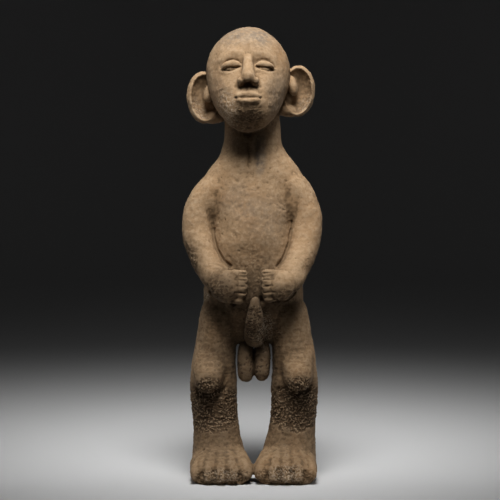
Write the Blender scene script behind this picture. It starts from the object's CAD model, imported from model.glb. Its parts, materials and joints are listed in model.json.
# %% [markdown]
# # An ancestor statue in fired clay
#
# The real thing is a nude standing figure about 42 cm high, pressed together from rolls and lumps
# of clay, smoothed with wet hands and fired. This lesson makes it the same way. The fixed frame is
# loaded first: it is a plain solid of the same figure, and it tells us where the figure stands and
# how big it is.

# %% Load the frame
import json
import math

import bmesh
import bpy
import numpy as np
from mathutils import Matrix, Vector, noise
from mathutils.bvhtree import BVHTree

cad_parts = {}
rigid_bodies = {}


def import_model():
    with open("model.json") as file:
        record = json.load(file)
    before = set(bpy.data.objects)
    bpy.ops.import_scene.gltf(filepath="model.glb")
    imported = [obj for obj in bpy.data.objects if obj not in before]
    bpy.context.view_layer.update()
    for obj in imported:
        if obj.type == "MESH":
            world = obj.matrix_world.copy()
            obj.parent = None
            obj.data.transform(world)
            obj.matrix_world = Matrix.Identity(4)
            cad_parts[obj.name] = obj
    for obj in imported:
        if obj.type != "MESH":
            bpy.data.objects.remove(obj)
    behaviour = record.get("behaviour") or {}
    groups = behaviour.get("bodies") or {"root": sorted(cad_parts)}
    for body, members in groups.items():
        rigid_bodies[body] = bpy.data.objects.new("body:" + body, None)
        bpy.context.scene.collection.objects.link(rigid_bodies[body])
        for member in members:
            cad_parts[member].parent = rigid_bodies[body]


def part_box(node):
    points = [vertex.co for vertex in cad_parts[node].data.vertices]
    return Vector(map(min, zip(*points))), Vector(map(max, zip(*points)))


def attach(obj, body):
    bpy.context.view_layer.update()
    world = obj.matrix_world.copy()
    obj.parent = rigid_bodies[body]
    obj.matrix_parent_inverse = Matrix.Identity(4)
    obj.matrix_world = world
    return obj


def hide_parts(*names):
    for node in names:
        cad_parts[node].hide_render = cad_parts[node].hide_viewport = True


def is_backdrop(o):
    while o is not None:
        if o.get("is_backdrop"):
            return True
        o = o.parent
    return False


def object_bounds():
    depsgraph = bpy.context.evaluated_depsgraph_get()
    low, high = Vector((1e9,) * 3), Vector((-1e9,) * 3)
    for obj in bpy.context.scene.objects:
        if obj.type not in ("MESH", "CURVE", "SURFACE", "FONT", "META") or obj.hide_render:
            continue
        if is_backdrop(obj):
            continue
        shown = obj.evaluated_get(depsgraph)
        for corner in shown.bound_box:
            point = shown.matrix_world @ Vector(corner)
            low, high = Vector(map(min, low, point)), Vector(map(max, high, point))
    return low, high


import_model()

MM = 1000  # millimetres in a metre

cad_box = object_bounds()
solid_low, solid_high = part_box("standing_figure")
print("solid figure, mm:", [round(side * MM, 1) for side in solid_high - solid_low])

# %% [markdown]
# ## The camera
#
# The camera comes before the clay, because a modeller too looks at the work from one place while
# setting its proportions. It stands 1.8 m off, a little above the middle of the figure. The lens is
# worked out from what it has to take in, so a change of distance doesn't change the framing.

# %% Camera
CAMERA_DISTANCE = 1.8
CAMERA_ELEVATION = math.radians(3.8)
CAMERA_TARGET = Vector((-0.0020, 0.0, 0.2145))
HALF_FIELD = 0.232
SENSOR = 36.0

looking = Vector((0.0, math.cos(CAMERA_ELEVATION), -math.sin(CAMERA_ELEVATION)))
camera = bpy.data.objects.new("camera", bpy.data.cameras.new("camera"))
bpy.context.scene.collection.objects.link(camera)
camera.location = CAMERA_TARGET - looking * CAMERA_DISTANCE
camera.rotation_euler = looking.to_track_quat("-Z", "Y").to_euler()
camera.data.sensor_width = SENSOR
camera.data.lens = SENSOR / 2 * CAMERA_DISTANCE / HALF_FIELD
bpy.context.scene.camera = camera
print("lens, mm:", round(camera.data.lens, 1))

# %% [markdown]
# ## A modeller's measure
#
# Someone who models a figure measures it in parts of itself: how far down the knee is, how wide the
# hand. Here one hundredth of the height is the unit, and `spot` turns such a place into metres. The
# figure faces -Y, and X runs to the viewer's right.

# %% Measures and two small helpers
HEIGHT = 0.42
HUNDREDTH = HEIGHT / 100

folders = {}
for name in ("ancestor_statue", "lumps"):
    folders[name] = bpy.data.collections.new(name)
    bpy.context.scene.collection.children.link(folders[name])
lumps = folders["lumps"]


def spot(x, y, z):
    """A place in metres, from hundredths of the height."""
    return Vector((x, y, z)) * HUNDREDTH


def new_object(name, shape, folder):
    made = bpy.data.objects.new(name, bpy.data.meshes.new(name))
    shape.to_mesh(made.data)
    shape.free()
    folder.objects.link(made)
    return made


print("one hundredth, mm:", HUNDREDTH * MM)

# %% [markdown]
# ## Balls and rolls of clay
#
# Hand modelling knows two starting shapes. A ball is rolled between the palms, and a roll is drawn
# out on the table and bent. A ball is a UV sphere squeezed to an ellipsoid. A roll could be a curve
# with a bevel, but its thickness has to change in two directions, so it is a cage of rings instead,
# and a Subdivision Surface modifier rounds the cage.

# %% Ball and roll
ROUNDING_LEVELS = 4


def ball(middle, radii, turn=(0.0, 0.0, 0.0), placed=Matrix.Identity(4)):
    spin = Matrix.Rotation(turn[2], 4, "Z") @ Matrix.Rotation(turn[1], 4, "Y")
    spin = spin @ Matrix.Rotation(turn[0], 4, "X")
    size = Matrix.Diagonal((*(spot(*radii)), 1))
    shape = bmesh.new()
    where = placed @ Matrix.Translation(spot(*middle)) @ spin @ size
    bmesh.ops.create_uvsphere(shape, u_segments=48, v_segments=32, radius=1, matrix=where)
    return new_object("ball", shape, lumps)


def roll(stations, placed=Matrix.Identity(4), sides=10):
    """A station is x, y, z, half width and half depth. The rounding draws a ring in, so each ring
    starts wider by the factor that a cubic spline through its corners loses."""
    wider = 3 / (2 + math.cos(2 * math.pi / sides))
    middles = [spot(*station[:3]) for station in stations]
    across = Vector((1, 0, 0))
    shape = bmesh.new()
    last_ring = []
    for index, (_, _, _, half_width, half_depth) in enumerate(stations):
        behind = middles[max(index - 1, 0)]
        ahead = middles[min(index + 1, len(middles) - 1)]
        along = (ahead - behind).normalized()
        across = (across - along * across.dot(along)).normalized()
        axes = Matrix((across, along.cross(across), along)).transposed().to_4x4()
        half_size = (half_width * wider * HUNDREDTH, half_depth * wider * HUNDREDTH, 1, 1)
        where = placed @ Matrix.Translation(middles[index]) @ axes @ Matrix.Diagonal(half_size)
        at_end = index in (0, len(stations) - 1)
        ring = bmesh.ops.create_circle(
            shape, cap_ends=at_end, segments=sides, radius=1, matrix=where
        )
        corners = set(ring["verts"])
        edges = [edge for edge in shape.edges if set(edge.verts) <= corners]
        if last_ring:
            bmesh.ops.bridge_loops(shape, edges=last_ring + edges)
        last_ring = edges
    bmesh.ops.recalc_face_normals(shape, faces=shape.faces)
    made = new_object("roll", shape, lumps)
    rounding = made.modifiers.new("Rounding", "SUBSURF")
    rounding.levels = ROUNDING_LEVELS
    rounding.render_levels = ROUNDING_LEVELS
    return made


print("shapes to start from: ball, roll")

# %% [markdown]
# ## Pressing lumps into one skin
#
# Wet clay lumps stick where they touch, and the thumb wipes the seam away. Booleans would join the
# lumps with a hard seam. Remesh in voxel mode fuses them like clay, and a Smooth modifier is the
# thumb. The skin's grain is the size of its faces, so the same reach of the thumb takes more
# strokes on a finer grain: as many as the square of the ratio.

# %% Fuse and smooth
def bake(made):
    """Replaces the object's mesh with what its modifiers make of it."""
    bpy.context.view_layer.update()
    graph = bpy.context.evaluated_depsgraph_get()
    worked = bpy.data.meshes.new_from_object(made.evaluated_get(graph))
    made.modifiers.clear()
    made.data = worked


def skin_of(name, grain, strokes, folder):
    joined = bmesh.new()
    graph = bpy.context.evaluated_depsgraph_get()
    for lump in list(lumps.objects):
        mesh = bpy.data.meshes.new_from_object(lump.evaluated_get(graph))
        joined.from_mesh(mesh)
        bpy.data.meshes.remove(mesh)
        bpy.data.objects.remove(lump, do_unlink=True)
    skin = new_object(name, joined, folder)
    fuse = skin.modifiers.new("Fuse", "REMESH")
    fuse.mode = "VOXEL"
    fuse.voxel_size = grain * HUNDREDTH
    thumb = skin.modifiers.new("Thumb", "SMOOTH")
    thumb.factor = 0.5
    thumb.iterations = strokes
    bake(skin)
    print(name, "has", len(skin.data.vertices), "vertices")
    return skin

# %% [markdown]
# ## Drawing a tool over the skin
#
# Eye slits, armpits and scratches are drawn with a stick or a finger. `press` does that to the
# mesh: every vertex near a path sinks along its normal, and the further off it is the less it
# sinks. A sculpting brush would do the same by hand, but numbers in NumPy can be changed later. A
# depth below zero raises the skin, as a strip of clay smoothed on does.

# %% Read a mesh and press it
STROKE_REACH = 2.6


def read(mesh, what):
    values = np.empty(len(mesh.vertices) * 3)
    mesh.vertices.foreach_get(what, values)
    return values.reshape(-1, 3)


def move(mesh, places):
    mesh.vertices.foreach_set("co", places.ravel())
    mesh.update()


def press(skin, path, width, depth, along=None):
    places = read(skin.data, "co")
    reach = STROKE_REACH * width * HUNDREDTH
    corners = np.array([tuple(point) for point in path])
    inside = (places > corners.min(axis=0) - reach) & (places < corners.max(axis=0) + reach)
    near = np.flatnonzero(inside.all(axis=1))
    close = places[near]
    normals = read(skin.data, "normal")[near]
    gap = np.full(len(near), np.inf)
    for start, end in zip(corners[:-1], corners[1:]):
        step = end - start
        share = np.clip((close - start) @ step / (step @ step), 0, 1)
        gap = np.minimum(gap, np.linalg.norm(close - start - share[:, None] * step, axis=1))
    strength = np.exp(-((gap / (width * HUNDREDTH)) ** 2))
    way = -normals if along is None else np.array(along)
    places[near] += way * (strength * depth * HUNDREDTH)[:, None]
    move(skin.data, places)


print("a stroke fades out at", STROKE_REACH, "times its width")

# %% [markdown]
# A stroke has to lie on the skin, and nobody wants to work out how deep that is at each point. So a
# stroke is given as it is seen from the front, by x and z alone, and `trace` sends a ray back
# through each point until it meets the skin. `placed` turns the rays: the camera looks down a
# little, and the head looks up.

# %% Trace a stroke on the skin
IN_FRONT = -30  # where the rays start, in hundredths
seen = Matrix.Rotation(-CAMERA_ELEVATION, 4, "X")


def feel(skin):
    """The skin's faces in a tree, which answers ray casts quickly."""
    return BVHTree.FromObject(skin, bpy.context.evaluated_depsgraph_get())


def trace(surface, points, placed=seen):
    towards = placed.to_3x3() @ Vector((0, 1, 0))
    path = []
    for x, z in points:
        hit = surface.ray_cast(placed @ spot(x, IN_FRONT, z), towards)[0]
        if hit is not None:
            path.append(hit)
    return path


print("rays slope down by, degrees:", round(math.degrees(CAMERA_ELEVATION), 1))

# %% [markdown]
# ## The trunk
#
# Hips, barrel belly, sloping chest and neck are one tall roll, with a ball behind for each buttock.
# The figure isn't quite symmetric, and the stations keep that: x drifts to the right at the hips
# and the shoulders, and to the left under the head.

# %% Trunk
roll(
    [
        (0.2, 0.8, 29.5, 4.5, 3.0),
        (0.2, 0.7, 33.0, 8.2, 4.7),
        (0.4, 0.4, 37.5, 11.1, 6.3),
        (0.5, 0.0, 42.5, 11.2, 7.1),
        (0.2, -0.3, 47.5, 9.8, 7.4),
        (0.1, -0.4, 52.5, 8.9, 7.3),
        (0.1, -0.2, 57.5, 8.9, 7.0),
        (0.1, 0.0, 61.5, 9.6, 6.6),
        (0.3, 0.3, 65.3, 10.5, 6.1),
        (0.8, 0.6, 68.6, 10.8, 5.7),
        (0.3, 0.8, 71.6, 7.5, 5.4),
        (0.3, 0.7, 74.5, 6.4, 5.3),
        (0.3, 0.4, 78.0, 6.1, 5.3),
        (0.0, 0.0, 82.0, 6.1, 5.3),
        (-0.6, 0.0, 86.0, 5.8, 5.3),
    ],
    sides=12,
)
for side in (-1, 1):
    ball((side * 4.6, 3.4, 36.8), (5.8, 4.2, 6.6))

# %% [markdown]
# ## The head
#
# The head is thrown back, so its own frame is tilted: the head is modelled upright around the
# middle of the skull, and one matrix carries it to its place on the neck.

# %% Head
HEAD_MIDDLE = (-0.7, -1.0, 90.3)
HEAD_TILT = math.radians(26)
head_place = Matrix.Translation(spot(*HEAD_MIDDLE)) @ Matrix.Rotation(-HEAD_TILT, 4, "X")


def on_head(*places):
    return [head_place @ spot(*place) for place in places]


roll(
    [
        (0.0, 0.6, 10.0, 1.6, 2.0),
        (0.0, 0.6, 8.7, 4.8, 5.6),
        (0.0, 0.5, 5.4, 8.0, 8.8),
        (0.0, 0.4, 1.5, 9.3, 10.0),
        (0.0, 0.1, -2.0, 9.2, 9.5),
        (0.0, -0.9, -5.5, 8.4, 8.4),
        (0.0, -2.2, -9.0, 7.0, 6.9),
        (0.0, -3.5, -12.0, 5.2, 5.3),
        (0.0, -4.6, -14.2, 3.0, 3.2),
    ],
    placed=head_place,
    sides=12,
)
print("head tilted by, degrees:", round(math.degrees(HEAD_TILT)))

# %% [markdown]
# ## Arms
#
# Each arm is one roll from the slope of the shoulder, down past the ribs and forward to the belly.
# The upper arm keeps clear of the ribs by a narrow crease and melts into the chest above it, where
# a short tapering roll fills the front of the shoulder.

# %% Arms
SHOULDER = {-1: (-8.2, 0.3, 65.0), 1: (9.1, 0.3, 65.5)}
HAND_MIDDLE = {-1: (-4.5, -9.1, 43.5), 1: (5.9, -9.1, 43.6)}
ARM_SHIFT = 0.2

shoulder_front = [
    (8.8, -0.8, 66.0, 1.6, 2.0),
    (8.8, -1.2, 63.5, 2.6, 3.0),
    (8.8, -1.0, 61.0, 2.6, 3.0),
    (8.9, -0.4, 59.0, 2.0, 2.6),
    (8.9, 0.4, 57.4, 1.3, 2.0),
    (8.9, 0.8, 56.2, 0.6, 1.0),
]
for side in (-1, 1):
    x, y, z = HAND_MIDDLE[side]
    shoulder_x, shoulder_y, shoulder_z = SHOULDER[side]
    upper_arm = [
        (11.2, 0.3, 61.8, 3.4, 4.2),
        (12.2, -0.5, 57.8, 3.65, 3.9),
        (12.0, -1.7, 53.6, 3.4, 3.6),
        (11.0, -3.8, 49.9, 3.1, 3.3),
        (9.3, -6.1, 46.8, 3.0, 3.1),
    ]
    roll(
        [
            (shoulder_x - side * 3.6, shoulder_y, shoulder_z + 1.9, 3.2, 4.2),
            (shoulder_x, shoulder_y, shoulder_z, 3.5, 4.5),
            *((side * across + ARM_SHIFT, *rest) for across, *rest in upper_arm),
            (x + side * 2.5, y + 1.1, z + 1.4, 3.5, 2.7),
            (x + side * 0.4, y + 0.1, z + 0.1, 3.7, 2.3),
        ]
    )
    roll([(side * across + ARM_SHIFT, *rest) for across, *rest in shoulder_front], sides=8)

# %% [markdown]
# ## Legs, feet and knees
#
# The legs are thick straight rolls that hardly narrow at the ankle, and the feet are short and
# high. The knee is a boss set on the front: it swells out of the thigh and overhangs the shin, so
# it casts the shadow that shows below it.

# %% Legs, feet and knees
DIGITS = 5
TOE_STEP = 2.7
TOE_HALF = 1.4
FOOT_HALF = (DIGITS - 1) / 2 * TOE_STEP + TOE_HALF
FOOT_MIDDLE = {-1: -6.65, 1: 7.6}
LEG_SHIFT = {-1: 0.55, 1: 0.7}
KNEE_MIDDLE = {-1: (-9.6, -5.0, 21.8), 1: (10.4, -5.0, 22.2)}

leg = [
    (6.6, 0.4, 40.0, 4.3, 5.0),
    (7.7, 0.2, 36.0, 4.5, 5.4),
    (8.2, -0.1, 32.0, 4.4, 5.4),
    (8.8, -0.3, 27.5, 4.7, 5.2),
    (9.0, -0.2, 22.5, 5.2, 4.9),
    (9.0, 0.3, 18.0, 5.4, 4.9),
    (8.7, 0.5, 14.0, 5.2, 4.8),
    (8.4, 0.2, 10.5, 5.1, 4.9),
    (8.0, -0.4, 7.0, 5.7, 5.7),
    (7.6, 0.0, 3.5, 6.1, 6.0),
    (7.5, 0.3, -0.5, 5.9, 5.8),
]
foot = [
    (0.4, 7.2, 1.8, 3.6, 2.6),
    (0.4, 4.8, 2.4, 5.0, 3.9),
    (0.3, 0.5, 3.0, 6.3, 5.4),
    (0.1, -3.4, 3.0, FOOT_HALF * 1.02, 5.9),
    (0.0, -6.4, 2.4, FOOT_HALF * 1.02, 5.0),
    (0.0, -8.8, 1.9, FOOT_HALF * 0.96, 3.6),
    (0.0, -10.6, 1.6, FOOT_HALF * 0.8, 2.4),
]
for side in (-1, 1):
    roll([(side * across + LEG_SHIFT[side], *rest) for across, *rest in leg])
    roll([(side * across + FOOT_MIDDLE[side], *rest) for across, *rest in foot])
    x, y, z = KNEE_MIDDLE[side]
    roll(
        [
            (x - side * 0.5, y + 2.8, z + 8.4, 3.2, 2.2),
            (x - side * 0.4, y + 1.9, z + 5.6, 3.6, 2.7),
            (x - side * 0.2, y + 0.9, z + 3.1, 3.5, 3.0),
            (x, y, z + 0.8, 3.2, 3.2),
            (x, y, z - 1.0, 2.8, 3.0),
            (x, y + 0.4, z - 2.1, 1.6, 1.7),
        ]
    )

# %% [markdown]
# The body is fused before the face is made, because its lumps need wide, soft joins, and so much
# smoothing would wipe the features away.

# %% Fuse the body
BODY_GRAIN = 0.32
BODY_REACH = 1.42
body = skin_of("body_mass", BODY_GRAIN, round((BODY_REACH / BODY_GRAIN) ** 2), lumps)

# %% [markdown]
# ## The face
#
# The face is calm and plain, on the proportions that drawing books give: the eyes half way down the
# head, the nose and the mouth at the thirds below. Sockets, brow, cheeks, mouth and chin are first
# only swellings and hollows of the skin. The features are small lumps laid on it after that.

# %% Swellings and hollows of the face
PAIRED_FORMS = {
    "eye socket": (((2.7, -9.6, -2.5), (4.6, -8.6, -2.7)), 1.3, 0.95),
    "brow": (((1.5, -9.8, -0.2), (3.6, -9.4, 0.3), (6.2, -7.6, -0.8)), 0.9, -0.4),
    "cheek": (((4.6, -8.0, -5.9), (4.4, -7.8, -6.4)), 2.2, -0.3),
}
MIDDLE_FORMS = {
    "mouth": (((-1.3, -9.2, -10.3), (1.3, -9.2, -10.3)), 1.9, -0.6),
    "chin": (((-0.8, -8.2, -13.4), (0.8, -8.2, -13.4)), 1.6, -0.75),
}
for side in (-1, 1):
    for path, width, depth in PAIRED_FORMS.values():
        press(body, on_head(*((side * x, y, z) for x, y, z in path)), width, depth)
for path, width, depth in MIDDLE_FORMS.values():
    press(body, on_head(*path), width, depth)
print("forms of the face:", ", ".join([*PAIRED_FORMS, *MIDDLE_FORMS]))

# %% [markdown]
# The features are lumps. Each closed eye is a ball under its lid, the nose is a short roll that
# widens to the tip, and two small balls make its wings. They are set into the head, so that only
# the part that shows stands out.

# %% Eyes and nose
for side in (-1, 1):
    ball((side * 3.6, -7.9, -2.6), (2.0, 1.1, 1.1), turn=(0, 0, side * 0.3), placed=head_place)
    ball((side * 1.5, -9.2, -7.0), (0.95, 1.2, 0.95), placed=head_place)
roll(
    [
        (0.0, -8.0, 0.9, 1.2, 0.9),
        (0.0, -8.9, -1.8, 1.0, 1.0),
        (0.0, -9.5, -4.6, 1.3, 1.4),
        (0.0, -9.9, -6.4, 1.7, 1.6),
        (0.0, -9.4, -7.5, 1.3, 1.1),
    ],
    placed=head_place,
    sides=8,
)

# %% [markdown]
# ## Ears
#
# Each ear is a big cup that faces forward, made on its own and then pushed on. It is a flattened
# ball whose hollow is scooped out by a Boolean modifier. Three more balls hold it to the head: a
# nub in front by the cheek, a bridge below it to the jaw and a root behind it.

# %% Ears
EAR_MIDDLE = {-1: (-10.6, 0.4, 84.7), 1: (10.5, 0.4, 86.1)}
EAR_NUB = {-1: (-9.3, -0.9, 85.6), 1: (9.1, -0.8, 87.2)}

for side in (-1, 1):
    x, y, z = EAR_MIDDLE[side]
    lean = (0.0, side * math.radians(3), side * math.radians(10))
    dish = ball((x, y, z), (3.7, 2.1, 5.7), turn=lean)
    scoop = ball((x - side * 0.4, y - 1.5, z), (3.2, 2.15, 5.2), turn=lean)
    lumps.objects.unlink(scoop)
    hollow = dish.modifiers.new("Hollow", "BOOLEAN")
    hollow.operation = "DIFFERENCE"
    hollow.object = scoop
    bake(dish)
    bpy.data.objects.remove(scoop)
    ball(EAR_NUB[side], (1.1, 1.5, 2.3), turn=(0.0, -side * 0.25, 0.0))
    ball((x - side * 3.0, y + 0.8, z - 4.0), (3.2, 1.8, 1.6), turn=(0, side * 0.25, 0))
    ball((x - side * 2.4, y + 1.2, z + 0.4), (2.6, 1.9, 4.8))
    print("ear at x, mm:", round(x * HUNDREDTH * MM, 1))

# %% [markdown]
# ## Hands and toes
#
# The hands are loose fists on the belly. A fist is a broad ball for its back and a narrower one
# under the fingers, with thumb and fingers as a stack of short rolls that curl in towards the
# belly. Fingers modelled one by one would be too thin here: the real ones are only the ends of a
# lump, cut apart.

# %% Hands
FINGER_STEP = 1.42
FINGER_HALF = 0.86
HAND_HALF = (DIGITS - 1) / 2 * FINGER_STEP + 0.8

for side in (-1, 1):
    x, y, z = HAND_MIDDLE[side]
    ball((x + side * 0.8, y, z), (3.7, 2.6, HAND_HALF))
    ball((x - side * 2.1, y - 0.1, z), (1.8, 1.9, HAND_HALF * 0.97))
    for step in range(DIGITS):
        lift = ((DIGITS - 1) / 2 - step) * FINGER_STEP
        forward = y - 1.5 * math.sqrt(1 - (lift / (HAND_HALF * 1.18)) ** 2)
        reach = 3.7 - 0.08 * (step - 1.2) ** 2
        tip_half = FINGER_HALF * (1.15 if step == 0 else 1.0)
        roll(
            [
                (x + side * 0.4, forward + 1.2, z + lift, FINGER_HALF * 0.8, FINGER_HALF),
                (x - side * 1.2, forward + 0.5, z + lift, FINGER_HALF, FINGER_HALF),
                (x - side * (reach - 0.9), forward + 0.2, z + lift, tip_half, tip_half),
                (x - side * reach, forward + 1.0, z + lift, tip_half * 0.85, tip_half * 0.85),
            ],
            sides=8,
        )
print("fingers:", 2 * DIGITS)

# %% [markdown]
# A toe is one roll, because it bends: it fans out from the instep, rises over its joint and drops
# to the ground. The big toe is on the inner side, and the outer ones lie lower.

# %% Toes
for side in (-1, 1):
    for step in range(DIGITS):
        outward = step - (DIGITS - 1) / 2
        tip_x = side * TOE_STEP * outward + FOOT_MIDDLE[side]
        root_x = side * (0.4 + 0.55 * TOE_STEP * outward) + FOOT_MIDDLE[side]
        tip_y = -11.4 + 0.35 * outward * outward
        thick = TOE_HALF * (1.1 if step == 0 else 1.0)
        lower = 0.18 * outward * outward
        end_x = tip_x * 0.97 + FOOT_MIDDLE[side] * 0.03
        roll(
            [
                (root_x, -3.4, 6.8 - lower, 0.8, 0.8),
                ((root_x + tip_x) / 2, -6.8, 5.7 - lower, thick * 0.8, thick * 0.8),
                (tip_x, tip_y + 2.1, 4.0 - 0.7 * lower, thick, thick),
                (tip_x, tip_y + 0.5, 2.1, thick, thick),
                (end_x, tip_y + 0.8, 0.7 + lower, thick, thick * 0.9),
            ],
            sides=8,
        )
print("toes:", 2 * DIGITS)

# %% [markdown]
# ## Loins
#
# One tapering roll rises in front of the body, and two others hang between the thighs. They reach
# clear of the legs, so a slim gap stays open on each side. This is the last clay that is added: now
# all lumps and the smoothed body are fused once more, with a finer grain that keeps the features.

# %% Loins
roll(
    [
        (0.8, -1.2, 31.2, 2.3, 2.4),
        (0.8, -4.2, 32.2, 2.4, 2.4),
        (0.8, -6.7, 34.6, 2.3, 2.1),
        (0.8, -8.2, 37.6, 1.8, 1.7),
        (0.8, -9.3, 40.2, 1.1, 1.1),
        (0.8, -9.7, 41.4, 0.6, 0.6),
    ],
    sides=8,
)
for x, z in ((-1.25, 26.6), (2.4, 26.9)):
    roll(
        [
            (x, -1.0, z + 4.4, 1.5, 2.0),
            (x, -1.8, z + 1.0, 1.8, 2.3),
            (x, -2.3, z - 2.4, 1.95, 2.5),
            (x, -2.3, z - 4.3, 1.6, 2.0),
            (x, -2.2, z - 4.9, 0.6, 0.8),
        ],
        sides=8,
    )

# %% Fuse the figure
SKIN_GRAIN = 0.17
SKIN_STROKES = 4
figure = skin_of("clay_figure", SKIN_GRAIN, SKIN_STROKES, folders["ancestor_statue"])

# %% [markdown]
# ## Strokes on the face
#
# Lids, slits and lips are too fine for lumps, so they are drawn and raised on the skin. Each stroke
# is a bowed line through three places on the head. Left and right get the same strokes, so the face
# stays even and calm.

# %% Eyelids, nostrils and mouth
def arc(start, top, end, steps=9):
    """Points of a bowed line through three places, each an x and a z."""
    points = []
    for step in range(steps):
        t = step / (steps - 1)
        shares = ((1 - 2 * t) * (1 - t), 4 * t * (1 - t), t * (2 * t - 1))
        corners = list(zip(shares, (start, top, end)))
        point = [sum(share * corner[axis] for share, corner in corners) for axis in (0, 1)]
        points.append(tuple(point))
    return points


EYE_STROKES = {
    "crease over the lid": ((1.6, -2.3), (3.7, -1.15), (5.9, -2.3), 0.28, 0.22),
    "upper lid": ((1.7, -2.9), (3.7, -2.3), (5.7, -2.9), 0.5, -0.22),
    "slit": ((1.7, -3.1), (3.7, -3.45), (5.8, -3.05), 0.22, 0.42),
    "lower lid": ((2.0, -3.7), (3.7, -4.2), (5.4, -3.6), 0.38, -0.16),
}
MOUTH_STROKES = {
    "upper lip": ((-2.3, -9.9), (0.0, -9.4), (2.3, -9.9), 0.5, -0.26),
    "lower lip": ((-1.9, -10.9), (0.0, -11.3), (1.9, -10.9), 0.62, -0.32),
    "mouth": ((-2.8, -10.2), (0.0, -10.45), (2.8, -10.2), 0.24, 0.36),
    "hollow over the chin": ((-1.6, -12.1), (0.0, -12.4), (1.6, -12.1), 0.8, 0.2),
}
NOSTRIL = ((0.85, -10.4, -8.2), (0.9, -9.8, -8.2))
FOLD_BY_NOSE = ((2.4, -6.2), (2.7, -7.6))

surface = feel(figure)
for side in (-1, 1):
    for start, top, end, width, depth in EYE_STROKES.values():
        points = [(side * x, z) for x, z in arc(start, top, end)]
        press(figure, trace(surface, points, head_place), width, depth)
    press(figure, on_head(*((side * x, y, z) for x, y, z in NOSTRIL)), 0.3, 0.7)
    fold = [(side * x, z) for x, z in FOLD_BY_NOSE]
    press(figure, trace(surface, fold, head_place), 0.4, 0.18)
for start, top, end, width, depth in MOUTH_STROKES.values():
    press(figure, trace(surface, arc(start, top, end), head_place), width, depth)
print("strokes on the face:", ", ".join([*EYE_STROKES, *MOUTH_STROKES]))

# %% [markdown]
# ## Creases where parts meet
#
# The thumb that smoothed the body also filled its corners, so they are opened again. A crease is
# wiped under the jaw and below each knee, two long grooves run down the throat, and a narrow one
# parts each arm from the ribs. That one has to lie exactly where arm and rib meet, so `deepest`
# feels for the place. Creases are pushed straight back, because the normals in a corner point every
# way.

# %% Jaw, throat, armpits and knees
BACK = (0, 1, 0)
JAW = [(-5.4, 79.4), (-3.2, 77.2), (-0.7, 76.3), (1.8, 77.2), (4.4, 79.6)]
THROAT_GROOVES = ((-0.5, 73.6, 69.4), (1.4, 78.0, 69.8))
ARMPIT = (
    [(-8.6, 56.6), (-8.4, 55.4), (-8.1, 53.2), (-7.3, 51.0), (-5.9, 48.5), (-4.6, 47.2)],
    [(8.6, 57.0), (8.0, 55.4), (7.7, 52.6), (7.0, 50.2), (6.4, 48.4), (5.2, 47.2)],
)


def deepest(surface, x, z, reach=1.0):
    """Where the skin lies deepest on one level, within a reach either side of x."""
    hits = trace(surface, [(x + reach * step / 10, z) for step in range(-10, 11)])
    return max(hits, key=lambda hit: hit.y)


surface = feel(figure)
press(figure, trace(surface, JAW), 1.0, 0.5, along=BACK)
for x, top, bottom in THROAT_GROOVES:
    groove = [(x - 0.3, top), (x, (top + bottom) / 2), (x - 0.1, bottom)]
    press(figure, trace(surface, groove), 0.7, 0.24)
for crease in ARMPIT:
    path = [deepest(surface, x, z) for x, z in crease]
    print("crease at x:", [round(point.x / HUNDREDTH, 1) for point in path])
    press(figure, path, 0.3, 0.3, along=BACK)
    press(figure, path[1:], 0.3, 0.6, along=BACK)
    press(figure, path[2:], 0.26, 0.6, along=BACK)
for side in (-1, 1):
    x, _, z = KNEE_MIDDLE[side]
    fold = arc((x - 2.8, z - 1.9), (x, z - 2.9), (x + 2.8, z - 1.9))
    press(figure, trace(surface, fold), 0.9, 0.6)

# %% [markdown]
# ## Fingers, toes and the hollow under the hands
#
# The fingers were cut apart with short slots of uneven length, deeper at the finger ends, so each
# slot takes two strokes. Below the fists the clay was dug away, which leaves them standing clear of
# the body. The toes are parted by broad, shallow grooves that fade out on the instep.

# %% Slots between the fingers
SLOT_LENGTHS = (1.5, 2.3, 1.9, 2.4)
SLOT_WIDTH = 0.19

for side in (-1, 1):
    x, _, z = HAND_MIDDLE[side]
    for index, length in enumerate(SLOT_LENGTHS):
        level = z + (1.5 - index) * FINGER_STEP
        slot = [(x - side * (3.3 - length * share), level + 0.2 * share) for share in (0, 0.5, 1)]
        slot = trace(surface, slot)
        press(figure, slot, SLOT_WIDTH, 0.14)
        press(figure, slot[:2], SLOT_WIDTH, 0.16)
print("slots in a hand:", len(SLOT_LENGTHS))

# %% The hollow under each hand
UNDER_HANDS = (
    [(-8.8, 41.6), (-7.2, 39.9), (-3.8, 39.1), (-1.4, 40.0)],
    [(2.6, 40.0), (4.2, 39.2), (7.6, 39.7), (9.4, 41.3)],
)
surface = feel(figure)
for edge in UNDER_HANDS:
    press(figure, trace(surface, edge), 0.6, 0.8, along=BACK)
print("hollows dug:", len(UNDER_HANDS))

# %% Grooves between the toes
for side in (-1, 1):
    for step in range(1, DIGITS):
        outward = side * (step - DIGITS / 2)
        groove = [
            (FOOT_MIDDLE[side] + 0.7 * TOE_STEP * outward, 6.6),
            (FOOT_MIDDLE[side] + 0.88 * TOE_STEP * outward, 4.8),
            (FOOT_MIDDLE[side] + 1.02 * TOE_STEP * outward, 1.4),
        ]
        press(figure, trace(surface, groove), 0.6, 0.14)
        press(figure, trace(surface, groove[1:]), 0.5, 0.16)
print("grooves in a foot:", DIGITS - 1)

# %% [markdown]
# ## Small marks
#
# A few marks are the figure's own: a bump on the crown, dents and wrinkles in the chest, scratches
# by one armpit, a hole in one foot and a chip at the hip. Noise would never put them in the right
# place, so each is a stroke of its own.

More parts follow.
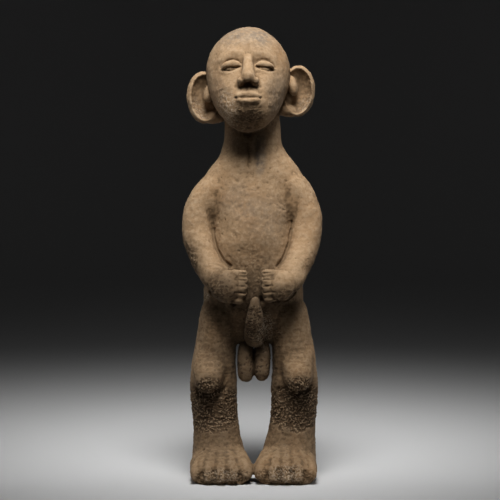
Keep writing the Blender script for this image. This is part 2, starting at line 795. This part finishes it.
# %% Small marks
MARKS = (
    ("bump on the crown", (-3.2, 97.3), (-2.8, 97.5), 0.36, -0.42),
    ("dent in the chest", (-3.3, 66.0), (-3.0, 65.8), 0.5, 0.14),
    ("dent in the chest", (1.4, 64.3), (1.6, 64.4), 0.3, 0.16),
    ("wrinkle in the chest", (-2.3, 64.2), (-0.9, 64.6), 0.24, 0.07),
    ("wrinkle in the chest", (-0.7, 63.9), (0.9, 63.7), 0.22, 0.07),
    ("pit at the collar", (4.1, 68.8), (4.3, 68.8), 0.2, 0.16),
    ("pit in the shoulder", (7.6, 65.9), (7.7, 65.9), 0.2, 0.16),
    ("scratch by the armpit", (5.2, 60.9), (6.5, 60.0), 0.15, 0.11),
    ("scratch by the armpit", (5.7, 60.0), (7.3, 59.5), 0.15, 0.13),
    ("scratch by the armpit", (6.2, 61.3), (7.4, 60.3), 0.15, 0.1),
    ("scratch by the armpit", (5.5, 59.1), (6.3, 58.8), 0.15, 0.08),
    ("hole in the foot", (-10.6, 6.8), (-10.5, 6.8), 0.2, 0.6),
    ("chip at the hip", (-10.2, 40.4), (-10.2, 41.2), 0.4, 0.35),
)
surface = feel(figure)
for kind, start, end, width, depth in MARKS:
    press(figure, trace(surface, (start, end)), width, depth)
    print(kind, "at", start)

# %% [markdown]
# ## What hands, tools and the ground leave on the clay
#
# No patch of the real surface is smooth. The modeller's palms leave long shallow waves, wiping
# leaves level streaks, coarse temper in the clay leaves grains and pores, and where the figure was
# worn or lay in the ground the skin has come off and a crumpled, pitted core shows. All of it is
# raised in the mesh, so it catches the light from every side. A Displace modifier could do one
# layer, but here each layer has its own place, so Blender's noise is read at every vertex, and the
# layers are added up.

# %% Noise read at every vertex
places = read(figure.data, "co")
normals = read(figure.data, "normal")
print("vertices under the tools:", len(places))


def waves(size, stretch=(1, 1, 1), seed=0, bent=None):
    """Soft noise from about -1 to 1. One swelling is about size millimetres wide."""
    scaled = places * MM / (np.array(stretch) * size) + seed * 7.31
    if bent is not None:
        scaled = scaled + bent[:, None] * np.array((0.4, 0.7, 1.0))
    return np.array([noise.noise(point) for point in scaled.tolist()]) * 2


def cells(size, seed=0):
    """How far the nearest of many scattered points is, in cell widths, and that point's number."""
    gaps = np.empty(len(places))
    marks = np.empty(len(places))
    for index, point in enumerate((places * MM / size + seed * 5.17).tolist()):
        distances, points = noise.voronoi(point)
        gaps[index] = distances[0]
        marks[index] = noise.noise(points[0] * 3.7)
    return gaps, marks


def ramp(values, low, high):
    """0 below low, 1 above high and a soft slope between them."""
    share = np.clip((values - low) / (high - low), 0, 1)
    return share * share * (3 - 2 * share)


ragged = waves(5, seed=1) * 0.6 + waves(2.4, seed=2) * 0.4


def patch(middle, radii, edge=0.35, torn=0.22):
    """1 inside a rounded patch of the skin, 0 outside it, with a torn edge between."""
    away = np.linalg.norm((places - np.array(spot(*middle))) / np.array(spot(*radii)), axis=1)
    return ramp(1.0 - away + torn * ragged, -edge / 2, edge / 2)

# %% [markdown]
# Where the skin is worn comes first, as one number for each vertex: shins, the undersides of the
# knees, toe tips, the heels of the hands, elbows, loins, jaw and ear rims. Later the colour reads
# the same numbers.

# %% Worn places
shins = np.zeros(len(places))
for middle, radii in (
    ((-8.8, -1.6, 16.0), (7.0, 9.0, 5.4)),
    ((9.8, -1.6, 16.0), (7.0, 9.0, 5.5)),
):
    shins = np.maximum(shins, patch(middle, radii, edge=0.16, torn=0.16))
shins *= 1 - 0.75 * ramp(places[:, 1], -0.002, 0.014)
pitted = np.zeros(len(places))
for middle, radii in (
    ((-9.6, -7.6, 21.0), (3.3, 3.4, 2.2)),
    ((10.4, -7.6, 21.2), (3.4, 3.4, 2.3)),
    ((-6.6, -11.6, 1.2), (7.2, 4.0, 2.6)),
    ((7.7, -11.6, 1.4), (7.2, 4.0, 3.0)),
):
    pitted = np.maximum(pitted, patch(middle, radii))
crumpled = np.zeros(len(places))
for middle, radii, share in (
    ((0.8, -8.0, 35.4), (2.8, 3.8, 4.8), 0.6),
    ((-7.4, -9.4, 42.2), (4.0, 4.0, 3.4), 0.3),
    ((8.0, -9.4, 41.2), (3.6, 4.0, 2.4), 0.55),
    ((-13.6, -3.6, 48.6), (2.4, 5.0, 3.8), 0.7),
    ((12.8, -4.4, 47.4), (2.6, 4.6, 3.0), 0.7),
    ((-0.3, -8.0, 46.6), (3.6, 4.0, 6.0), 0.22),
    ((4.2, -6.0, 32.4), (2.2, 4.0, 4.6), 0.7),
    ((-0.7, -10.0, 79.2), (4.2, 3.0, 2.4), 0.6),
    ((-0.7, -13.6, 81.2), (4.0, 3.0, 2.8), 0.45),
    ((-6.4, -9.0, 82.4), (2.8, 4.0, 4.2), 0.3),
    ((-0.7, -13.6, 88.0), (2.2, 1.8, 2.0), 0.3),
    ((-13.2, -1.4, 84.4), (1.6, 3.0, 6.4), 0.2),
    ((13.2, -1.4, 85.6), (1.6, 3.0, 6.4), 0.24),
    ((5.0, -9.0, 82.0), (2.6, 4.0, 3.6), 0.25),
    ((0.9, -3.0, 24.0), (5.0, 3.0, 3.4), 0.28),
):
    crumpled = np.maximum(crumpled, share * patch(middle, radii, edge=0.6))
worn = np.maximum(np.maximum(shins, pitted), crumpled)


def keep(name, values):
    """Stores one number a vertex on the mesh, where the material can read it."""
    layer = figure.data.attributes.new(name, "FLOAT", "POINT")
    layer.data.foreach_set("value", values.astype(np.float32))
    print(name, "from", round(float(values.min()), 2), "to", round(float(values.max()), 2))


keep("worn", worn)

# %% [markdown]
# The layers are in millimetres, and below zero is down into the clay. The worn core is a crumpled
# one: noise folded at zero gives sharp crests with hollows between, stretched sideways as the clay
# was wiped. Knees and toe tips are pitted as well, like bread, and there the cells of a
# Voronoi noise make the holes.

# %% Layers of relief
DEEPEST = -2.3
HIGHEST = 0.9

bend = 0.8 * waves(9, seed=3)
folds = 1 - np.abs(waves(3.0, (2.2, 2.2, 0.85), seed=4, bent=bend))
fine_folds = 1 - np.abs(waves(2.0, (1.5, 1.5, 0.8), seed=5, bent=bend))
crumbs = 0.5 + 0.5 * waves(1.4, seed=13)
crests = np.clip(0.42 * folds + 0.3 * fine_folds + 0.32 * crumbs, 0, 1)
depths = 0.6 + 0.6 * ramp(waves(7, seed=14), -0.6, 0.6)
pit_gaps, pit_marks = cells(3.0, seed=6)
pore_gaps, pore_marks = cells(5.5, seed=7)
on_face = patch((-0.7, -9.0, 86.5), (8.4, 6.0, 9.5), torn=0)

relief = 0.34 * waves(17, seed=8) + 0.18 * waves(8, seed=9)
relief += (1 - 0.6 * on_face) * 0.05 * waves(2.6, (3.0, 3.0, 0.9), seed=10)
relief += 0.14 * waves(3.8, seed=11) + 0.12 * waves(1.9, seed=12)
on_legs = 1 - ramp(places[:, 2], 0.15, 0.17)
relief += on_legs * 0.13 * waves(2.2, (3.0, 3.0, 0.8), seed=15)
pores = 0.42 * (1 - ramp(pore_gaps, 0.08, 0.2)) * ramp(pore_marks, -0.05, 0.15)
relief -= pores * (1 - 0.5 * on_face)
hollowed = depths * ramp(1 - crests, 0.12, 0.62)
relief -= shins * (0.1 + 1.25 * hollowed)
relief -= crumpled * (0.05 + 1.1 * hollowed)
pits = 0.9 * (1 - ramp(pit_gaps, 0.1, 0.5)) * ramp(pit_marks, -0.5, 0.2)
relief -= pitted * (pits + hollowed)
relief = np.clip(relief, DEEPEST, HIGHEST)
move(figure.data, places + normals * relief[:, None] / MM)
print("relief, mm:", round(float(relief.min()), 2), "to", round(float(relief.max()), 2))

# %% [markdown]
# ## Level soles and a thinner skin
#
# The figure stands on its own soles, so they are cut flat at the ground and closed. Where the skin
# is plain it also has far more faces than it needs. Decimate takes those away, because it always
# collapses the edge that changes the shape least. A coarser remesh would take the pits with them.

# %% Level the soles and thin the skin
TRIANGLES = 194000

shape = bmesh.new()
shape.from_mesh(figure.data)
bmesh.ops.bisect_plane(
    shape,
    geom=shape.verts[:] + shape.edges[:] + shape.faces[:],
    plane_co=(0, 0, 0),
    plane_no=(0, 0, 1),
    clear_inner=True,
)
bmesh.ops.holes_fill(shape, edges=[edge for edge in shape.edges if edge.is_boundary], sides=0)
bmesh.ops.recalc_face_normals(shape, faces=shape.faces)
shape.to_mesh(figure.data)
shape.free()
fewer = figure.modifiers.new("Fewer", "DECIMATE")
fewer.ratio = TRIANGLES / sum(len(face.vertices) - 2 for face in figure.data.polygons)
bake(figure)
figure.data.shade_smooth()
print("triangles:", sum(len(face.vertices) - 2 for face in figure.data.polygons))

# %% [markdown]
# ## Hollows and crests
#
# Dirt stays in hollows and hands polish crests, so the colour has to know which is which. Cycles
# has a Pointiness output for that, but it works only in Cycles. Here the skin is smoothed in NumPy,
# and a vertex that lies below its smoothed place is in a hollow. A few rounds find pores, many find
# the creases between arm and rib. The numbers are kept on the mesh as attributes.

# %% Measure hollows
mesh = figure.data
ends = np.empty(len(mesh.edges) * 2, dtype=np.int64)
mesh.edges.foreach_get("vertices", ends)
first, second = ends.reshape(-1, 2).T
neighbours = np.bincount(np.concatenate((first, second)), minlength=len(mesh.vertices))
places = read(mesh, "co")
normals = read(mesh, "normal")


def hollows(rounds, depth):
    """From -1 on a crest to 1 in a hollow as deep as depth, in millimetres."""
    smoothed = places.copy()
    for _ in range(rounds):
        for axis in range(3):
            column = smoothed[:, axis]
            total = np.bincount(first, column[second], len(column))
            total += np.bincount(second, column[first], len(column))
            smoothed[:, axis] = total / neighbours
    return np.clip(((smoothed - places) * normals).sum(axis=1) * MM / depth, -1, 1)


keep("fine_hollow", hollows(3, 0.18))
keep("broad_hollow", hollows(40, 0.8))

# %% [markdown]
# ## Stains
#
# The figure has aged by places. Soil and soot darkened the worn shins, knees, hands and loins, the
# throat under the chin and the creases, and a grey bloom lies on the crown. Each stain is a patch
# like the worn ones, but softer at its edge. Where patches overlap, what is left clean by one is
# darkened by the next, as with washes of paint. Thinning has changed the vertices, so the ragged
# noise is read anew for them.

# %% Washes of stain
ragged = waves(9, seed=21) * 0.6 + waves(3.5, seed=22) * 0.4


def washes(stains):
    """How much of the clay is covered, from 0 to 1, with all the stains laid on."""
    clean = np.ones(len(places))
    for middle, radii, strength in stains:
        clean *= 1 - strength * patch(middle, radii, edge=0.9, torn=0.09)
    return 1 - clean


print("vertices to stain:", len(places))

# %% Dark stains
DARK_STAINS = (
    ((-1.2, -5.5, 76.4), (4.8, 4.0, 4.6), 0.5),
    ((-1.5, -9.0, 78.5), (4.0, 3.0, 2.4), 0.4),
    ((-0.7, -13.6, 81.0), (4.6, 4.0, 3.0), 0.55),
    ((-0.7, -13.6, 87.4), (2.4, 2.4, 1.8), 0.5),
    ((-7.0, -9.4, 42.6), (5.2, 6.0, 4.8), 0.94),
    ((8.2, -9.4, 41.6), (4.6, 6.0, 3.6), 0.75),
    ((-13.8, -3.4, 48.6), (3.4, 7.0, 4.8), 0.65),
    ((-12.0, -5.0, 48.8), (4.4, 6.0, 4.6), 0.35),
    ((0.4, -7.5, 46.6), (7.0, 5.0, 8.5), 0.55),
    ((0.4, -8.0, 43.0), (4.0, 4.0, 3.6), 0.5),
    ((-4.6, -8.0, 38.6), (5.0, 5.0, 2.0), 0.6),
    ((6.4, -8.0, 38.8), (4.6, 5.0, 2.0), 0.7),
    ((0.8, -8.0, 35.6), (3.6, 6.0, 8.0), 0.93),
    ((0.8, -2.0, 26.0), (6.0, 6.0, 7.0), 0.95),
    ((-6.8, -5.0, 33.0), (6.4, 7.0, 8.0), 0.62),
    ((8.0, -5.0, 33.5), (6.0, 7.0, 7.0), 0.42),
    ((-9.4, -6.0, 26.0), (5.2, 5.0, 4.6), 0.5),
    ((10.2, -6.0, 26.2), (5.2, 5.0, 4.6), 0.42),
    ((-8.8, -4.0, 16.6), (8.5, 9.0, 6.6), 0.93),
    ((9.8, -4.0, 16.6), (8.5, 9.0, 6.6), 0.9),
    ((-9.6, -8.0, 20.6), (3.8, 3.4, 3.0), 0.55),
    ((10.4, -8.0, 20.8), (3.8, 3.4, 3.0), 0.6),
    ((-8.4, -3.0, 9.8), (8.0, 10.0, 5.0), 0.7),
    ((9.0, -3.0, 9.8), (8.0, 10.0, 5.0), 0.62),
    ((-6.6, -10.0, 2.4), (8.0, 8.0, 4.4), 0.45),
    ((7.6, -10.0, 2.4), (8.0, 8.0, 4.4), 0.4),
)
keep("dark_stain", washes(DARK_STAINS))

# %% Grey and pale stains
GREY_STAINS = (
    ((-0.5, -1.0, 98.5), (9.0, 8.0, 5.5), 0.42),
    ((-3.0, -4.0, 97.2), (3.4, 4.0, 2.6), 0.6),
    ((1.4, -4.5, 97.0), (2.8, 4.0, 2.2), 0.75),
    ((-7.4, -7.0, 86.4), (2.0, 4.0, 3.4), 0.25),
    ((5.9, -8.0, 85.0), (3.2, 4.0, 4.6), 0.4),
    ((1.9, -5.0, 72.6), (1.3, 4.0, 4.6), 0.7),
    ((-3.0, -6.0, 62.0), (4.0, 4.0, 4.0), 0.3),
    ((3.0, -6.0, 58.0), (5.0, 4.0, 5.0), 0.3),
)
PALE_STAINS = (
    ((-10.4, -3.0, 40.8), (1.0, 4.0, 1.0), 0.9),
    ((3.2, -6.0, 33.0), (2.0, 4.0, 4.0), 0.5),
    ((7.4, -12.0, 2.4), (3.6, 3.0, 2.2), 0.5),
    ((-6.4, -12.0, 2.0), (4.6, 3.0, 1.8), 0.35),
    ((-5.4, -10.0, 81.6), (2.6, 4.0, 4.0), 0.45),
    ((-12.4, -1.0, 81.0), (2.6, 3.0, 3.4), 0.3),
    ((12.8, -1.0, 82.0), (2.6, 3.0, 3.4), 0.3),
)
keep("grey_stain", washes(GREY_STAINS))
keep("pale_stain", washes(PALE_STAINS))

# %% [markdown]
# ## Standing where the solid stands
#
# The stains are kept as numbers on the skin, so the figure can move without them. It goes where the
# solid stands: the same middle from left to right, and the same back.

# %% Stand the figure where the solid stands
low, high = places.min(axis=0), places.max(axis=0)
sideways = (solid_low[0] + solid_high[0] - low[0] - high[0]) / 2
shift = np.array((sideways, solid_high[1] - high[1], 0.0))
move(figure.data, places + shift)
print("moved by, mm:", (shift * MM).round(2))

# %% [markdown]
# ## Sums with sockets
#
# A material is a set of nodes, and most of them only do sums. This class wraps a socket, so that a
# sum written in Python adds the Math nodes that do it. `node` adds any other node: its settings go
# in first, then the numbers or links of its sockets.

# %% A socket that can be added and multiplied
class Link:
    def __init__(self, tree, socket=None):
        self.tree = tree
        self.socket = socket

    def node(self, kind, settings=(), sockets=(), out=0):
        made = self.tree.nodes.new(kind)
        for name, value in dict(settings).items():
            setattr(made, name, value)
        for name, value in dict(sockets).items():
            if isinstance(value, Link):
                self.tree.links.new(value.socket, made.inputs[name])
            else:
                made.inputs[name].default_value = value
        return Link(self.tree, made.outputs[out])

    def sum(self, operation, *values):
        return self.node("ShaderNodeMath", {"operation": operation}, dict(enumerate(values)))

    def __add__(self, other):
        return self.sum("ADD", self, other)

    def __sub__(self, other):
        return self.sum("SUBTRACT", self, other)

    def __rsub__(self, other):
        return self.sum("SUBTRACT", other, self)

    def __mul__(self, other):
        return self.sum("MULTIPLY", self, other)

    __radd__ = __add__
    __rmul__ = __mul__

    def slope(self, low, high):
        """0 below low, 1 above high and a soft slope between them."""
        return self.node(
            "ShaderNodeMapRange",
            {"interpolation_type": "SMOOTHSTEP"},
            {"Value": self, "From Min": low, "From Max": high},
        )


print("a Link adds a node for: + - * slope")

# %% [markdown]
# ## Fired clay
#
# The clay fired to a dull tan, lighter where it is rubbed, and warm where the fire was cleaner.
# Soil and soot sit in the hollows and in a few stains. There is no glaze, so it is rough all over,
# and the finest grain is a bump. An image would need unwrapping and would hide how the colour comes
# about, so noise and the kept numbers place each layer, and it is mixed over the one before.

# %% Specks, mixing and kept numbers
COLOUR_OUT = 2  # a Mix node's outputs are a number, a vector and a colour

clay = bpy.data.materials.new("fired_clay")
clay.use_nodes = True
paint = Link(clay.node_tree)
where = paint.node("ShaderNodeTexCoord", out="Object")


def speckle(size, detail=3, rough=0.55, stretch=(1, 1, 1)):
    """Noise on the figure itself, from 0 to 1; one speck is about size millimetres wide."""
    scaled = paint.node(
        "ShaderNodeVectorMath",
        {"operation": "MULTIPLY"},
        {0: where, 1: [MM / size / share for share in stretch]},
    )
    sockets = {"Vector": scaled, "Scale": 1.0, "Detail": detail, "Roughness": rough}
    return paint.node("ShaderNodeTexNoise", sockets=sockets)


def mixed(under, over, share):
    """A colour over another, which it covers by its share."""
    sockets = {"Factor": share, "A": under, "B": over}
    return paint.node("ShaderNodeMix", {"data_type": "RGBA"}, sockets, out=COLOUR_OUT)


def kept(name):
    return paint.node("ShaderNodeAttribute", {"attribute_name": name}, out="Fac")


numbers = [layer.name for layer in figure.data.attributes if layer.data_type == "FLOAT"]
print("kept on the skin:", numbers)

# %% [markdown]
# The layers follow the life of the figure: first the uneven colours of the fire, then the darker
# core that wear laid bare, then soil in the hollows and the stains, and last what is rubbed or
# has gone pale.

# %% Layers of colour
TAN = (0.28, 0.181, 0.098, 1)
PALE = (0.44, 0.325, 0.21, 1)
WARM = (0.31, 0.175, 0.08, 1)
BROWN = (0.14, 0.08, 0.036, 1)
SOIL = (0.036, 0.021, 0.0095, 1)
GREY = (0.125, 0.102, 0.08, 1)
CHALK = (0.55, 0.46, 0.35, 1)

fine = kept("fine_hollow")
broad = kept("broad_hollow")
worn_share = kept("worn")
dark = kept("dark_stain")
crest = (0 - fine).slope(0.15, 0.9)
rubbed = crest * (1 - 0.8 * dark * (1 - worn_share))
layers = (
    (WARM, speckle(45).slope(0.45, 0.75) * 0.6),
    (BROWN, speckle(22, 5).slope(0.5, 0.8) * 0.4),
    (PALE, speckle(9, 4).slope(0.52, 0.8) * 0.3),
    (BROWN, speckle(2.2, 4, stretch=(3, 3, 1)).slope(0.5, 0.75) * 0.4),
    (BROWN, broad.slope(0.1, 1.0) * 0.45),
    (BROWN, worn_share * 0.5),
    (SOIL, fine.slope(0.25, 1.2) * 0.5),
    (BROWN, speckle(1.6, 2).slope(0.55, 0.75) * 0.45),
    (GREY, kept("grey_stain") * (0.4 + 0.6 * speckle(4).slope(0.35, 0.6))),
    (SOIL, dark * (0.8 + 0.2 * speckle(3, 4).slope(0.3, 0.7)) * (1 - 0.3 * rubbed)),
    (PALE, rubbed * (0.26 + 0.12 * worn_share) * speckle(3).slope(0.35, 0.6)),
    (CHALK, kept("pale_stain") * speckle(1.6, 3).slope(0.48, 0.62)),
)
colour = TAN
for tint, share in layers:
    colour = mixed(colour, tint, share)
print("layers over the tan:", len(layers))

# %% Grain and finish
DRY_ROUGHNESS = 0.8
DULL_SHINE = 0.25

grain = speckle(1.1, 2) + 0.5 * speckle(0.5, 1)
bump = paint.node("ShaderNodeBump", sockets={"Strength": 0.35, "Distance": 0.0004, "Height": grain})
roughness = DRY_ROUGHNESS + 0.15 * speckle(6)
shader = clay.node_tree.nodes["Principled BSDF"]
shader.inputs["Specular IOR Level"].default_value = DULL_SHINE
for name, link in (("Base Color", colour), ("Roughness", roughness), ("Normal", bump)):
    clay.node_tree.links.new(link.socket, shader.inputs[name])
figure.data.materials.append(clay)
print("nodes in the clay:", len(clay.node_tree.nodes))

# %% [markdown]
# ## Floor and light
#
# The figure stands on a plain pale floor that sweeps up far behind it on all sides, as studio paper
# does, so no edge shows. Half a profile spun about the figure makes it. One soft box hangs above
# the figure and a little in front, close enough that head and shoulders get more light than the
# feet, and two weaker ones behind it edge the arms and legs.

# %% Floor
FLAT_REACH = 2.3
SWEEP = 0.8
SWEEP_STEPS = 8
RIM_TOP = 2.0
ROUND_STEPS = 96

shape = bmesh.new()
profile = [(0.0, 0.0), (FLAT_REACH, 0.0)]
for step in range(1, SWEEP_STEPS + 1):
    angle = math.pi / 2 * step / SWEEP_STEPS
    profile.append((FLAT_REACH + SWEEP * math.sin(angle), SWEEP * (1 - math.cos(angle))))
profile.append((FLAT_REACH + SWEEP, RIM_TOP))
corners = [shape.verts.new((across, 0.0, up)) for across, up in profile]
edges = [shape.edges.new(pair) for pair in zip(corners[:-1], corners[1:])]
whole = corners + edges
bmesh.ops.spin(shape, geom=whole, axis=(0, 0, 1), angle=2 * math.pi, steps=ROUND_STEPS)
bmesh.ops.remove_doubles(shape, verts=shape.verts, dist=0.0001)
bmesh.ops.recalc_face_normals(shape, faces=shape.faces)
floor = new_object("floor", shape, bpy.context.scene.collection)
floor.data.shade_smooth()
pale = bpy.data.materials.new("pale_floor")
pale.use_nodes = True
paper = pale.node_tree.nodes["Principled BSDF"]
paper.inputs["Base Color"].default_value = (0.5, 0.5, 0.5, 1.0)
paper.inputs["Roughness"].default_value = 0.9
floor.data.materials.append(pale)
print("floor across, m:", round(2 * (FLAT_REACH + SWEEP), 1))

# %% [markdown]
# A soft box is an area light, and its spread narrows the light as a grid in front of it does. The
# narrow key light falls off towards the legs, so the relief shows and the pale floor stays quiet.

# %% Light
world = bpy.data.worlds.new("soft_room")
world.use_nodes = True
room = world.node_tree.nodes["Background"]
room.inputs["Color"].default_value = (0.8, 0.8, 0.8, 1.0)
room.inputs["Strength"].default_value = 0.03
bpy.context.scene.world = world


def soft_box(name, place, width, power, spread=180, aim=0.22):
    lamp = bpy.data.lights.new(name, "AREA")
    lamp.size = width
    lamp.energy = power
    lamp.spread = math.radians(spread)
    holder = bpy.data.objects.new(name, lamp)
    bpy.context.scene.collection.objects.link(holder)
    holder.location = place
    aimed = Vector((0, 0, aim)) - Vector(place)
    holder.rotation_euler = aimed.to_track_quat("-Z", "Y").to_euler()
    print(name, "hangs, m off:", round(aimed.length, 2))


soft_box("key_above", (0.0, -0.38, 1.0), 0.4, 1.4, spread=45, aim=0.33)
soft_box("rim_left", (-0.8, 0.3, 0.45), 0.4, 0.9)
soft_box("rim_right", (0.8, 0.3, 0.45), 0.4, 0.9)

# %% [markdown]
# ## Handing over
#
# The skin rides on the body of the solid and takes its place. The floor is only a stage. The size
# of the solid and the size of everything that shows are written down side by side, to be compared.

# %% Hand over
bpy.context.scene.view_settings.view_transform = "Standard"
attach(figure, "root")
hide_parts("standing_figure")
floor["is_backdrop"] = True
visual_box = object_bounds()
for kind, (low, high) in (("solid", cad_box), ("skin", visual_box)):
    print(kind, "size, mm:", [round((b - a) * MM, 1) for a, b in zip(low, high)])
